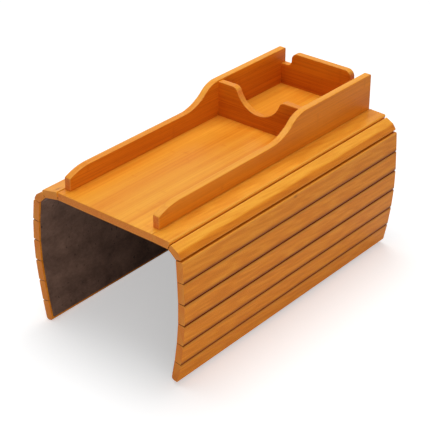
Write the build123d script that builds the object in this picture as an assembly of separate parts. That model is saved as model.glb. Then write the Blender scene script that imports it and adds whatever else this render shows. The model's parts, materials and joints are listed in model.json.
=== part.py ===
from build123d import *
import math
import os

os.makedirs("parts", exist_ok=True)

# Sofa arm tray in millimetres
# X runs across the sofa arm, Y along it towards the high end of the rails, and Z up.
# The origin is the middle of the felt underside, which lies on the sofa arm.

# Board and linings
tray_length = 360.0
board_width = 126.0
wood_thickness = 8.5
felt_thickness = 1.5
felt_end_inset = 2.0

# Slats of one wing, from the board outwards
# Widths are taken at the felt. The sides that face each other at the corner lean apart.
first_slat_width = 18.5
corner_slat_width = 10.5
slat_width = 22.9
plain_slats = 6
first_outer_lean_deg = 14.0
corner_inner_lean_deg = 17.0
corner_outer_lean_deg = 37.0
corner_crown = 2.2
corner_edge_round = 1.2
fold_gap = 0.5
slat_edge_round = 1.4
slat_inner_round = 0.9
slat_end_chamfer = 0.5
hem_round = 3.0
felt_hem_inset = 4.0

# How far each fold is bent from flat when the tray is draped over an arm, in degrees
right_fold_deg = (2, 38, 47, 1, 3, 4, 3, 3)
left_fold_deg = (12, 33, 38, 4, 5, 5, 2, 2)

# Side rails
rail_thickness = 8.0
rail_setback = 10.0
nose_height = 13.5
nose_length = 30.0
nose_round = 1.5
low_height = 20.5
high_height = 42.0
sweep_start = 182.0
sweep_run = 58.0
lower_sweep_share = 0.62
back_corner_round = 2.5

# Notched divider and rear panel, both standing between the rails
divider_front = 239.0
divider_thickness = 8.0
divider_height = 40.5
notch_radius = 30.0
notch_floor = 16.0
notch_lip_round = 8.0
panel_thickness = 8.0
panel_height = 41.0
panel_tab_round = 8.0
panel_ledge_width = 14.0
panel_ledge_drop = 16.0
panel_ledge_round = 6.0
tab_round_limit_share = 0.52
ledge_round_limit_share = 0.44

# Rounding of the edges that a hand meets
edge_round = 0.9

# Countersunk wood screws driven up through the board
screw_length = 22.0
screw_shank = 3.0
screw_head = 6.5
screw_tip = 3.0
screw_tip_flat = 0.6
screw_fit = 0.05
pilot_spare = 1.0
recess_length = 3.4
recess_width = 0.7
recess_depth = 1.1
rail_screws = 4
rail_screw_margin = 40.0
divider_screw_margin = 10.0
panel_screw_margin = 25.0

# Overrun of every cutting solid past the face it opens
overrun = 2.0

# A corner counts as found within this share of the tray's length
near_share = 0.0001

board_top = felt_thickness + wood_thickness
front_y = -tray_length / 2
back_y = tray_length / 2
inner_width = board_width - 2 * rail_thickness
slat_widths = [first_slat_width, corner_slat_width] + [slat_width] * plain_slats
first_leans = (0, first_outer_lean_deg)
corner_leans = (corner_inner_lean_deg, corner_outer_lean_deg)
slat_leans = [first_leans, corner_leans] + [(0, 0)] * plain_slats
slat_crowns = [0, corner_crown] + [0] * plain_slats


def save(shape, node):
    """Writes one node's solids and says what was written."""
    export_step(shape, f"parts/{node}.step")
    size = shape.bounding_box().size
    print(f"{node}: {len(shape.solids())} solid(s), {size.X:.1f} x {size.Y:.1f} x {size.Z:.1f} mm")


def box_between(x0, x1, y0, y1, z0, z1):
    """A box given by its limits on each axis."""
    middle = Pos((x0 + x1) / 2, (y0 + y1) / 2, (z0 + z1) / 2)
    return middle * Box(x1 - x0, y1 - y0, z1 - z0)


def corners(face, places):
    """The corners of a flat outline that lie at the given places."""
    near = near_share * tray_length
    found = []
    for vertex in face.vertices():
        if any((Vector(vertex) - place).length < near for place in places):
            found.append(vertex)
    return found


def arc_by_rise(tangent_point, radius, angle, along, up):
    """An arc that leaves a level tangent point and turns through an angle."""
    def point(turn):
        step = Vector(0, along * radius * math.sin(turn), up * radius * (1 - math.cos(turn)))
        return tangent_point + step
    return ThreePointArc(tangent_point, point(angle / 2), point(angle))


# Screws

def screw():
    """A countersunk wood screw with its head's face at height zero and its tip up."""
    head_radius = screw_head / 2
    shank_radius = screw_shank / 2
    cone_height = head_radius - shank_radius
    head = Pos(0, 0, cone_height / 2) * Cone(head_radius, shank_radius, cone_height)
    straight = screw_length - cone_height - screw_tip
    shank = Pos(0, 0, cone_height + straight / 2) * Cylinder(shank_radius, straight)
    tip_middle = screw_length - screw_tip / 2
    tip = Pos(0, 0, tip_middle) * Cone(shank_radius, screw_tip_flat, screw_tip)
    slot_z = recess_depth / 2
    slot = Pos(0, 0, slot_z) * Box(recess_length, recess_width, recess_depth)
    cross = slot + Rot(0, 0, 90) * slot
    return head + shank + tip - cross


def screw_hole():
    """The countersink and pilot hole for one screw, with room past the tip."""
    head_radius = screw_head / 2 + screw_fit
    shank_radius = screw_shank / 2 + screw_fit
    cone_height = head_radius - shank_radius
    sink = Pos(0, 0, cone_height / 2) * Cone(head_radius, shank_radius, cone_height)
    mouth = Pos(0, 0, -overrun / 2) * Cylinder(head_radius, overrun)
    pilot_length = screw_length + pilot_spare
    pilot = Pos(0, 0, pilot_length / 2) * Cylinder(shank_radius, pilot_length)
    return mouth + sink + pilot


def rail_screw_places(side):
    """Places of the screws under one rail, evenly spaced along it."""
    x = side * (board_width - rail_thickness) / 2
    first = front_y + rail_screw_margin
    step = (tray_length - 2 * rail_screw_margin) / (rail_screws - 1)
    return [(x, first + step * i) for i in range(rail_screws)]


def pair_places(margin, y):
    """Places of two screws across the tray, each a margin away from its rail."""
    x = inner_width / 2 - margin
    return [(-x, y), (x, y)]


def screws_at(places):
    """Separate screws with their heads flush with the wood's underside."""
    return Compound(children=[Pos(x, y, felt_thickness) * screw() for x, y in places])


def holes_at(places):
    """Cutting solids for the screws at the given places."""
    return [Pos(x, y, felt_thickness) * screw_hole() for x, y in places]


divider_y = front_y + divider_front + divider_thickness / 2
panel_y = back_y - panel_thickness / 2
left_places = rail_screw_places(-1)
right_places = rail_screw_places(1)
divider_places = pair_places(divider_screw_margin, divider_y)
panel_places = pair_places(panel_screw_margin, panel_y)


# Centre board and the felt under it

def centre_board():
    """The flat board that carries the rails, divider and rear panel."""
    half = board_width / 2
    board = box_between(-half, half, front_y, back_y, felt_thickness, board_top)
    top_ends = board.faces().sort_by(Axis.Z)[-1].edges().filter_by(Axis.X)
    board = fillet(top_ends, edge_round)
    for hole in holes_at(left_places + right_places + divider_places + panel_places):
        board -= hole
    return board


def board_felt():
    """The felt sheet under the board, set in a little from both ends."""
    half = board_width / 2
    felt_front = front_y + felt_end_inset
    return box_between(-half, half, felt_front, back_y - felt_end_inset, 0, felt_thickness)


# Side rails

def rail_outline():
    """The rail's side view: low nose, straight run, S-shaped sweep and high back."""
    foot = Vector(0, front_y + rail_setback, board_top)
    nose = foot + Vector(0, 0, nose_height)
    nose_drop = low_height - nose_height
    nose_radius = (nose_length**2 + nose_drop**2) / (2 * nose_drop)
    nose_end = foot + Vector(0, nose_length, low_height)
    nose_angle = math.asin(nose_length / nose_radius)
    nose_arc = arc_by_rise(nose_end, nose_radius, nose_angle, -1, -1)

    rise = high_height - low_height
    sweep_angle = 2 * math.atan2(rise, sweep_run)
    radii = sweep_run / math.sin(sweep_angle)
    low_end = Vector(0, front_y + sweep_start, board_top + low_height)
    high_start = low_end + Vector(0, sweep_run, rise)
    lower_arc = arc_by_rise(low_end, lower_sweep_share * radii, sweep_angle, 1, 1)
    upper_radius = (1 - lower_sweep_share) * radii
    upper_arc = arc_by_rise(high_start, upper_radius, sweep_angle, -1, -1)

    back_top = Vector(0, back_y, board_top + high_height)
    back_foot = Vector(0, back_y, board_top)
    edges = [
        Line(foot, nose), nose_arc, Line(nose_end, low_end), lower_arc, upper_arc,
        Line(high_start, back_top), Line(back_top, back_foot), Line(back_foot, foot),
    ]
    outline = make_face(edges)
    outline = fillet(corners(outline, [nose]), nose_round)
    return fillet(corners(outline, [back_top]), back_corner_round)


def rail(side, places):
    """One side rail, standing flush with the board's long edge."""
    inner_x = board_width / 2 - rail_thickness
    start_x = inner_x if side > 0 else -board_width / 2
    body = Pos(start_x, 0, 0) * extrude(rail_outline(), rail_thickness, dir=(1, 0, 0))
    above_foot = board_top + edge_round
    side_edges = []
    for face in body.faces().filter_by(Axis.X):
        side_edges += [edge for edge in face.edges() if edge.center().Z > above_foot]
    body = fillet(side_edges, edge_round)
    for hole in holes_at(places):
        body -= hole
    return body


# Notched divider and rear panel

def upright(face, thickness, back):
    """An outline in the XZ plane made into a board whose back face is at the given Y."""
    board = extrude(face, thickness, dir=(0, -1, 0))
    board = Pos(0, back, 0) * board
    half = inner_width / 2
    above_foot = board_top + edge_round
    handled = []
    for flat in board.faces().filter_by(Axis.Y):
        for edge in flat.edges():
            centre = edge.center()
            at_rail = edge.geom_type == GeomType.LINE and abs(centre.X) > half - edge_round
            if centre.Z > above_foot and not at_rail:
                handled.append(edge)
    return fillet(handled, edge_round)


def notched_divider():
    """The upright board across the tray, with a round notch and rounded lips."""
    half = inner_width / 2
    top = board_top + divider_height
    sheet = Plane.XZ * Pos(0, board_top + divider_height / 2) * Rectangle(inner_width, divider_height)
    notch_z = board_top + notch_floor + notch_radius
    sheet -= Plane.XZ * Pos(0, notch_z) * Circle(notch_radius)
    half_mouth = math.sqrt(notch_radius**2 - (notch_z - top)**2)
    lips = [Vector(-half_mouth, 0, top), Vector(half_mouth, 0, top)]
    sheet = fillet(corners(sheet, lips), notch_lip_round)
    board = upright(sheet, divider_thickness, divider_y + divider_thickness / 2)
    for hole in holes_at(divider_places):
        board -= hole
    return board


def rear_panel():
    """The upright board at the back, with its top stepped down beside each rail."""
    top = board_top + panel_height
    ledge_height = panel_height - panel_ledge_drop
    ledge = board_top + ledge_height
    half_tab = inner_width / 2 - panel_ledge_width
    base = Plane.XZ * Pos(0, board_top + ledge_height / 2) * Rectangle(inner_width, ledge_height)
    tab = Plane.XZ * Pos(0, board_top + panel_height / 2) * Rectangle(2 * half_tab, panel_height)
    sheet = base + tab
    tops = [Vector(-half_tab, 0, top), Vector(half_tab, 0, top)]
    sheet = fillet(corners(sheet, tops), min(panel_tab_round, tab_round_limit_share * panel_ledge_drop))
    steps = [Vector(-half_tab, 0, ledge), Vector(half_tab, 0, ledge)]
    sheet = fillet(corners(sheet, steps), min(panel_ledge_round, ledge_round_limit_share * panel_ledge_drop))
    board = upright(sheet, panel_thickness, back_y)
    for hole in holes_at(panel_places):
        board -= hole
    return board


# Wings

def slat(number):
    """A slat lying flat, its fold line at X zero on the felt's free face."""
    width = slat_widths[number]
    inner_lean, outer_lean = [math.radians(lean) for lean in slat_leans[number]]
    first = number == 0
    crown = slat_crowns[number]
    last = number == len(slat_widths) - 1

    def inner_side(height):
        start = fold_gap / 2 / math.cos(inner_lean)
        return Vector(start - height * math.tan(inner_lean), 0, height)

    def outer_side(height):
        end = width + fold_gap - fold_gap / 2 / math.cos(outer_lean)
        return Vector(end + height * math.tan(outer_lean), 0, height)

    inner_foot = inner_side(felt_thickness)
    outer_foot = outer_side(felt_thickness)
    shoulder = board_top - crown
    inner_top = inner_side(shoulder)
    outer_top = outer_side(shoulder)
    face_line = Line(inner_top, outer_top)
    if crown:
        crest = Vector((inner_top.X + outer_top.X) / 2, 0, board_top)
        face_line = ThreePointArc(inner_top, crest, outer_top)
    sides = [Line(inner_foot, inner_top), Line(outer_top, outer_foot), Line(outer_foot, inner_foot)]
    section = make_face([face_line] + sides)
    plain_round = corner_edge_round if crown else slat_edge_round
    section = fillet(corners(section, [inner_top]), slat_inner_round if first else plain_round)
    section = fillet(corners(section, [outer_top]), hem_round if last else plain_round)
    if last:
        section = fillet(corners(section, [outer_foot]), hem_round)
    body = Pos(0, back_y, 0) * extrude(section, tray_length, dir=(0, -1, 0))
    ends = []
    for face in body.faces().filter_by(Axis.Y):
        ends += [edge for edge in face.edges() if edge.center().Z > felt_thickness + slat_end_chamfer]
    return chamfer(ends, slat_end_chamfer)


def felt_strip(width, last):
    """The part of the felt lining that is glued to one slat."""
    start = fold_gap / 2
    end = start + width - (felt_hem_inset if last else 0)
    felt_front = front_y + felt_end_inset
    return box_between(start, end, felt_front, back_y - felt_end_inset, 0, felt_thickness)


def wing(side_name, fold_deg):
    """All slats of one wing, each turned about its fold line."""
    x = board_width / 2 + fold_gap / 2
    z = 0.0
    bend = 0.0
    for i, width in enumerate(slat_widths):
        bend += fold_deg[i]
        last = i == len(slat_widths) - 1
        place = Pos(x, 0, z) * Rot(0, bend, 0)
        wood = place * slat(i)
        felt = place * felt_strip(width, last)
        line_x = x if side_name == "right" else -x
        if side_name == "left":
            wood = mirror(wood, Plane.YZ)
            felt = mirror(felt, Plane.YZ)
        save(wood, f"{side_name}_slat_{i + 1}")
        save(felt, f"{side_name}_felt_{i + 1}")
        print(f"{side_name} fold {i + 1}: x {line_x:.4f}, z {z:.4f}, bent {fold_deg[i]} degrees")
        step = width + fold_gap
        x += step * math.cos(math.radians(bend))
        z -= step * math.sin(math.radians(bend))


save(centre_board(), "centre_board")
save(board_felt(), "board_felt")
save(rail(-1, left_places), "left_rail")
save(rail(1, right_places), "right_rail")
save(notched_divider(), "notched_divider")
save(rear_panel(), "rear_panel")
save(screws_at(left_places), "left_rail_screws")
save(screws_at(right_places), "right_rail_screws")
save(screws_at(divider_places), "divider_screws")
save(screws_at(panel_places), "rear_panel_screws")
wing("right", right_fold_deg)
wing("left", left_fold_deg)
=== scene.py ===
# %% [markdown]
# This lesson dresses a bamboo sofa arm tray. The tray is a flat board with two side rails, a
# notched divider and a rear panel, and two wings of slats that drape down the sides of an arm. A
# felt lining is glued under all of it and is the only hinge between the slats. The CAD model comes
# in first as a fixed frame, and every size below is read from it where it can be, so that the
# pieces fit.

# %% Load the frame
import json
import math
from functools import reduce

import bpy
import numpy as np
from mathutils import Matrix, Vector

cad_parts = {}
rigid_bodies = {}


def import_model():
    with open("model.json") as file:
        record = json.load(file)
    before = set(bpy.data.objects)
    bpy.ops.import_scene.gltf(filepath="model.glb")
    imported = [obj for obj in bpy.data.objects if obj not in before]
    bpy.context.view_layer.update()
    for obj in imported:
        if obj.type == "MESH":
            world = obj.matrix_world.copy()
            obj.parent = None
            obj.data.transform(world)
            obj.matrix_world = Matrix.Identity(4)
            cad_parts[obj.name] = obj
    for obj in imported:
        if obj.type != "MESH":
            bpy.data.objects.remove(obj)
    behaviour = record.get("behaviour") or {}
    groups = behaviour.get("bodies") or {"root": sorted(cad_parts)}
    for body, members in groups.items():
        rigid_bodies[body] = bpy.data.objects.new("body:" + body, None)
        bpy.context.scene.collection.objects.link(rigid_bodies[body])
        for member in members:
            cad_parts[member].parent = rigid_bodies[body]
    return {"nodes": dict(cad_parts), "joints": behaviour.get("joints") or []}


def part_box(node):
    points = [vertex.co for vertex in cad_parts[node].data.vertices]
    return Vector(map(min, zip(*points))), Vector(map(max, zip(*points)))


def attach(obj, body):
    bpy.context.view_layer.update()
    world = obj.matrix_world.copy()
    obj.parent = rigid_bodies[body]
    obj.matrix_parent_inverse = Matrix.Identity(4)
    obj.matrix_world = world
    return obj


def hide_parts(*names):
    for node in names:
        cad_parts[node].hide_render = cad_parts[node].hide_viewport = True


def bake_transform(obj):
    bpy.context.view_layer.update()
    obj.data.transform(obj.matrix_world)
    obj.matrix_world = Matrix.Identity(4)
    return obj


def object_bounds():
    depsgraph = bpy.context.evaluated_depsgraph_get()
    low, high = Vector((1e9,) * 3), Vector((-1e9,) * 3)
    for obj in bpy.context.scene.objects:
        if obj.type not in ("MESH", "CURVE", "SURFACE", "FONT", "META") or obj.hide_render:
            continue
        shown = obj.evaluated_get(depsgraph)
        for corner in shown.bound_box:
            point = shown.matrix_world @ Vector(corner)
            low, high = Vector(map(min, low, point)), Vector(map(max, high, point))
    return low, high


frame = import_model()
cad_low, cad_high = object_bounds()
MM = 0.001
print("CAD box in mm:", [round(x / MM, 1) for x in (*cad_low, *cad_high)])

# %% [markdown]
# A wing is a chain of slats. Each slat turns about a line on the free face of the felt, and the
# frame gives that line as the joint's place. A slat runs from its own fold line to the next one,
# so those two places give its tilt and its width. The last slat has no line after it. Its joint's
# lowest value is flat against its neighbour, so that value tells how far it is bent, and it is as
# wide as the others.

# %% Read the folds
SIDES = {"right": 1, "left": -1}
board_low, board_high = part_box("centre_board")
lining_low, lining_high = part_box("board_felt")
tray_length = board_high.y - board_low.y
wood_thickness = board_high.z - board_low.z
felt_thickness = lining_high.z - lining_low.z
felt_end_inset = lining_low.y - board_low.y
folds = {joint["child"]: joint for joint in frame["joints"]}
fold_gap = 2 * (folds["right_wing_1"]["pos_m"][0] - board_high.x)


def read_wing(side_name):
    """The slats of one wing from the board outwards: fold line, tilt in radians and width."""
    joints = []
    while f"{side_name}_wing_{len(joints) + 1}" in folds:
        joints.append(folds[f"{side_name}_wing_{len(joints) + 1}"])
    slats = [
        {"body": joint["child"], "inner": joint["parent"], "place": Vector(joint["pos_m"])}
        for joint in joints
    ]
    for slat, following in zip(slats, slats[1:]):
        step = following["place"] - slat["place"]
        slat["tilt"] = math.atan2(-step.z, SIDES[side_name] * step.x)
        slat["width"] = step.length - fold_gap
    slats[-1]["tilt"] = slats[-2]["tilt"] - math.radians(joints[-1]["range_deg"][0])
    slats[-1]["width"] = slats[-2]["width"]
    return slats


wings = {side_name: read_wing(side_name) for side_name in SIDES}
for side_name, slats in wings.items():
    widths = [round(slat["width"] / MM, 1) for slat in slats]
    tilts = [round(math.degrees(slat["tilt"])) for slat in slats]
    print(side_name, "slat widths in mm:", widths, "tilts in degrees:", tilts)

# %% [markdown]
# Node trees are wired the same way for shapes and for materials, so a few helpers keep the wiring
# readable. A value that is a socket is linked, and any other value is typed into the input.

# %% Helpers for node trees
FLOAT = "NodeSocketFloat"
VECTOR = "NodeSocketVector"
COLOUR = "NodeSocketColor"
GEOMETRY = "NodeSocketGeometry"


def feed(tree, node, inputs):
    """Links sockets into a node's inputs and types in all other values."""
    for name, value in inputs.items():
        if isinstance(value, bpy.types.NodeSocket):
            tree.links.new(value, node.inputs[name])
        else:
            node.inputs[name].default_value = value


def add_node(tree, kind, inputs=None, **settings):
    """A node with its settings made and its inputs linked or typed in."""
    node = tree.nodes.new(kind)
    for setting, value in settings.items():
        setattr(node, setting, value)
    feed(tree, node, inputs or {})
    return node


def result(tree, kind, inputs=None, **settings):
    """The first output of a new node."""
    return add_node(tree, kind, inputs, **settings).outputs[0]


def calculate(tree, operation, *values):
    """The result of one Math node."""
    return result(tree, "ShaderNodeMath", dict(enumerate(values)), operation=operation)


def total(tree, *values):
    """The sum of several values."""
    return reduce(lambda first, second: calculate(tree, "ADD", first, second), values)


def product(tree, *values):
    """The product of several values."""
    return reduce(lambda first, second: calculate(tree, "MULTIPLY", first, second), values)


def minus(tree, first, second):
    """The first value minus the second."""
    return calculate(tree, "SUBTRACT", first, second)


def vector_math(tree, operation, *values, output="Vector"):
    """The result of one Vector Math node, which is a vector or, for a length, a value."""
    node = add_node(tree, "ShaderNodeVectorMath", dict(enumerate(values)), operation=operation)
    return node.outputs[output]


def from_parts(tree, **parts):
    """A vector made of its parts X, Y and Z. A part left out is zero."""
    return result(tree, "ShaderNodeCombineXYZ", parts)


def parts_of(tree, vector):
    """The parts of a vector: X, Y and Z."""
    return add_node(tree, "ShaderNodeSeparateXYZ", {0: vector}).outputs


def new_group(name, kind, inputs, outputs):
    """An empty node group with named sockets. An input is given as name: (type, default)."""
    group = bpy.data.node_groups.new(name, kind)
    for socket_name, (socket_kind, default) in inputs.items():
        socket = group.interface.new_socket(socket_name, in_out="INPUT", socket_type=socket_kind)
        if default is not None:
            socket.default_value = default
    for socket_name, socket_kind in outputs.items():
        group.interface.new_socket(socket_name, in_out="OUTPUT", socket_type=socket_kind)
    return group


# %% [markdown]
# The tray is carbonised bamboo: heat turns the pale cane a warm orange brown. Boards are pressed
# from narrow strips laid side by side, so the tone changes a little from strip to strip. Inside a
# strip run fine straight fibres, short dark flecks where the sap vessels were, and here and there
# a knuckle, the ring where the cane once had a joint. One shader group makes all of it from a
# place in metres whose Y runs along the fibres, X across the strips and Z through the board.
# Photographs of grain would be simpler, but a procedural grain stays sharp close up and never
# repeats.

# %% Bamboo grain group
bamboo = new_group(
    "bamboo_grain",
    "ShaderNodeTree",
    {
        "Place": (VECTOR, None),
        "Seed": (FLOAT, 0.0),
        "Tone": (FLOAT, 0.0),
        "Strip Width": (FLOAT, 7 * MM),
        "Strip Contrast": (FLOAT, 0.10),
        "Fibre Contrast": (FLOAT, 0.30),
        "Streak Contrast": (FLOAT, 0.34),
        "Knuckle Strength": (FLOAT, 0.22),
        "End Grain": (FLOAT, 0.0),
        "Edge": (FLOAT, 0.0),
        "Groove": (FLOAT, 0.0),
        "From Knot": (FLOAT, 1.0),
    },
    {"Colour": COLOUR, "Roughness": FLOAT, "Height": FLOAT},
)
print("grain group sockets:", [socket.name for socket in bamboo.interface.items_tree])

# %% [markdown]
# A pattern is made of a few steps that come back all the time: noise stretched along the fibres,
# one range eased to another, a value that swings about zero, and two colours mixed by a share.

# %% Helpers for patterns


def stretched_noise(tree, place, density, detail=2.0, roughness=0.55):
    """Noise from 0 to 1 with the given number of grains in a metre along each axis."""
    scaled = vector_math(tree, "MULTIPLY", place, density)
    inputs = {"Vector": scaled, "Scale": 1.0, "Detail": detail, "Roughness": roughness}
    return result(tree, "ShaderNodeTexNoise", inputs)


def remap(tree, value, low, high, to_low=0.0, to_high=1.0):
    """A value eased from one range to another and held at its ends."""
    names = ("Value", "From Min", "From Max", "To Min", "To Max")
    inputs = dict(zip(names, (value, low, high, to_low, to_high)))
    return result(tree, "ShaderNodeMapRange", inputs, interpolation_type="SMOOTHSTEP")


def centred(tree, value, strength):
    """A 0 to 1 value turned into a swing about zero."""
    return product(tree, minus(tree, value, 0.5), strength)


def mix_colour(tree, share, first, second):
    """Two colours mixed by a share."""
    inputs = {0: share, 6: first, 7: second}
    return add_node(tree, "ShaderNodeMix", inputs, data_type="RGBA").outputs[2]


# %% [markdown]
# The fibres wander a little from side to side along the cane, so the place is first pushed across
# by a slow noise. The place divided by the strip width numbers the strips, and white noise turns
# that number into a random value of the strip's own. A knuckle ring crosses each strip about every
# 24 cm, at a place that this value shifts, and patches of the streaks break it up.

# %% Strips and knuckles
SEED_SHIFT = (0.37, 1.91, 0.73)
WANDER_DENSITY = (22.0, 6.0, 22.0)
WANDER = 1.3 * MM
RING_SPACING = 0.24
RING_SCATTER = 9.0
RING_WIDTH = 0.012
RING_PATCHES = (0.35, 0.60)


def strips(tree, given):
    """The wandering place of the fibres and the random value of each strip."""
    seed_place = from_parts(tree, X=given["Seed"], Y=given["Seed"], Z=given["Seed"])
    shifted = vector_math(tree, "MULTIPLY_ADD", seed_place, SEED_SHIFT, given["Place"])
    wander = stretched_noise(tree, shifted, WANDER_DENSITY, detail=1.0)
    push = from_parts(tree, X=centred(tree, wander, WANDER))
    place = vector_math(tree, "ADD", shifted, push)
    across = parts_of(tree, place)[0]
    strip = calculate(tree, "FLOOR", calculate(tree, "DIVIDE", across, given["Strip Width"]))
    return place, result(tree, "ShaderNodeTexWhiteNoise", {"W": strip}, noise_dimensions="1D")


def knuckles(tree, given, place, strip_random, streaks):
    """The strength of the rings that cross the strips."""
    along = parts_of(tree, place)[1]
    shift = product(tree, strip_random, RING_SCATTER)
    ring_place = calculate(tree, "MULTIPLY_ADD", along, 1 / RING_SPACING, shift)
    from_ring = calculate(tree, "ABSOLUTE", minus(tree, calculate(tree, "FRACT", ring_place), 0.5))
    ring = remap(tree, from_ring, 0.0, RING_WIDTH, 1.0, 0.0)
    return product(tree, ring, remap(tree, streaks, *RING_PATCHES), given["Knuckle Strength"])


# %% [markdown]
# A knot is where a bud once grew: a dark eye with a halo of bent fibres round it. Cut ends show
# the fibres as dots and drink more of the finish, so they are duller. Rounded edges are painted
# paler, partly for sanding wear and partly as a painted highlight. The grooves are painted a deep
# red brown, which is painted shade.

# %% Knots, cut ends, worn and highlighted edges, and painted shade
EYE_RANGE = (0.9 * MM, 2.0 * MM, 1.0, 0.0)
HALO_RANGE = (1.8 * MM, 4.5 * MM, 1.0, 0.0)
EYE_STRENGTH = 0.62
HALO_STRENGTH = 0.30
EYE_BROWN = (0.36, 0.085, 0.006, 1)
HALO_BROWN = (0.62, 0.160, 0.009, 1)
DOT_DENSITY = (1700.0, 4.0, 1700.0)
DOT_RANGE = (0.42, 0.60)
DOT_BROWN = (0.76, 0.185, 0.024, 1)
END_ORANGE = (0.92, 0.285, 0.052, 1)
END_STRENGTH = 0.75
# Rounded edges are painted paler: partly sanding wear, partly a painted highlight.
RUBBED_AND_HIGHLIGHT_GOLD = (0.96, 0.47, 0.07, 1)
RUBBED_AND_HIGHLIGHT_STRENGTH = 0.35
# A deep red brown painted into the grooves and on the slat sides that face each other: painted
# shade.
GROOVE_SHADE_RED = (0.27, 0.042, 0.002, 1)


def finished_colour(tree, given, place, wood):
    """The colour of the wood with its knots, cut ends, worn and highlighted edges and painted
    shade.
    """
    halo = product(tree, remap(tree, given["From Knot"], *HALO_RANGE), HALO_STRENGTH)
    eye = product(tree, remap(tree, given["From Knot"], *EYE_RANGE), EYE_STRENGTH)
    knotted = mix_colour(tree, eye, mix_colour(tree, halo, wood, HALO_BROWN), EYE_BROWN)
    dots = remap(tree, stretched_noise(tree, place, DOT_DENSITY, detail=1.0), *DOT_RANGE)
    end_colour = mix_colour(tree, dots, END_ORANGE, DOT_BROWN)
    end_share = product(tree, given["End Grain"], END_STRENGTH)
    with_ends = mix_colour(tree, end_share, knotted, end_colour)
    # Worn edges with a painted highlight.
    worn_and_lit_share = product(tree, given["Edge"], RUBBED_AND_HIGHLIGHT_STRENGTH)
    worn_and_lit = mix_colour(tree, worn_and_lit_share, with_ends, RUBBED_AND_HIGHLIGHT_GOLD)
    # The grooves get the painted shade.
    return mix_colour(tree, given["Groove"], worn_and_lit, GROOVE_SHADE_RED)


# %% [markdown]
# Now the group is wired. Four layers of noise, each finer than the last, and the strips and
# knuckles add up to one level, and a ramp turns that level into a colour between dark and pale
# bamboo. The same layers give the roughness and the relief, so a dark fleck is also a small dent.

# %% Wire the grain group
DRIFT_DENSITY = (26.0, 5.0, 26.0)
DRIFT_CONTRAST = 0.28
STREAK_DENSITY = (330.0, 3.2, 330.0)
FIBRE_DENSITY = (1150.0, 10.0, 1150.0)
FLECK_DENSITY = (2300.0, 75.0, 2300.0)
FLECK_RANGE = (0.60, 0.72)
FLECK_DARKNESS = 0.10
KNUCKLE_DARKNESS = 0.35
MIDDLE_LEVEL = 0.5
DARK_STOP = (0.18, (0.54, 0.120, 0.005, 1))
MIDDLE_STOP = (0.5, (0.82, 0.250, 0.011, 1))
PALE_STOP = (0.82, (0.99, 0.460, 0.044, 1))
SATIN_ROUGHNESS = 0.38
FIBRE_ROUGHNESS = 0.16
END_ROUGHNESS = 0.12
FIBRE_RELIEF = 0.6
STREAK_RELIEF = 0.5
FLECK_RELIEF = -0.5
KNUCKLE_RELIEF = 0.9


def bamboo_ramp(tree, level):
    """The colour of the wood at a level from dark to pale."""
    ramp = add_node(tree, "ShaderNodeValToRGB", {0: level})
    stops = ramp.color_ramp.elements
    stops[0].position, stops[0].color = DARK_STOP
    stops[1].position, stops[1].color = PALE_STOP
    middle_place, middle_colour = MIDDLE_STOP
    stops.new(middle_place).color = middle_colour
    return ramp.outputs[0]


def build_bamboo(tree):
    """Wires the grain group."""
    given = add_node(tree, "NodeGroupInput").outputs
    place, strip_random = strips(tree, given)
    drift = stretched_noise(tree, place, DRIFT_DENSITY)
    streaks = stretched_noise(tree, place, STREAK_DENSITY)
    fine = stretched_noise(tree, place, FIBRE_DENSITY, detail=3.0)
    flecks = remap(tree, stretched_noise(tree, place, FLECK_DENSITY, detail=1.0), *FLECK_RANGE)
    knuckle = knuckles(tree, given, place, strip_random, streaks)
    level = total(
        tree,
        MIDDLE_LEVEL,
        given["Tone"],
        centred(tree, fine, given["Fibre Contrast"]),
        centred(tree, streaks, given["Streak Contrast"]),
        centred(tree, drift, DRIFT_CONTRAST),
        centred(tree, strip_random, given["Strip Contrast"]),
        product(tree, flecks, -FLECK_DARKNESS),
        product(tree, knuckle, -KNUCKLE_DARKNESS),
    )
    colour = finished_colour(tree, given, place, bamboo_ramp(tree, level))
    rough = total(
        tree,
        SATIN_ROUGHNESS,
        centred(tree, fine, FIBRE_ROUGHNESS),
        product(tree, given["End Grain"], END_ROUGHNESS),
    )
    height = total(
        tree,
        centred(tree, fine, FIBRE_RELIEF),
        centred(tree, streaks, STREAK_RELIEF),
        product(tree, flecks, FLECK_RELIEF),
        product(tree, knuckle, KNUCKLE_RELIEF),
    )
    add_node(tree, "NodeGroupOutput", {"Colour": colour, "Roughness": rough, "Height": height})


build_bamboo(bamboo)
print("bamboo grain group:", len(bamboo.nodes), "nodes")

# %% [markdown]
# Felt is pressed wool: thousands of short fibres that lie every way, with darker and lighter
# clumps. The group gives a mottled brown-grey and a fine fuzzy relief. It reads the lining's own
# flat place, stored in the mesh, so that the pattern runs on over the folds from one piece to the
# next.

# %% Felt group
CLUMP_DENSITY = (55.0, 38.0, 55.0)
WISP_DENSITY = (320.0, 210.0, 320.0)
FUZZ_DENSITY = (2100.0, 1700.0, 2100.0)
SPECK_DENSITY = (150.0, 190.0, 150.0)
SPECK_RANGE = (0.64, 0.72)
SPECK_STRENGTH = 0.75
WISP_CONTRAST = 0.9
FUZZ_CONTRAST = 0.35
WISP_RELIEF = 0.8
FUZZ_RELIEF = 0.7
DARK_FELT = (0.080, 0.040, 0.026, 1)
PALE_FELT = (0.235, 0.132, 0.092, 1)
SPECK_BROWN = (0.030, 0.015, 0.010, 1)

felt_group = new_group(
    "felt_fibres",
    "ShaderNodeTree",
    {"Place": (VECTOR, None), "Mottle": (FLOAT, 1.7)},
    {"Colour": COLOUR, "Height": FLOAT},
)


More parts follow.
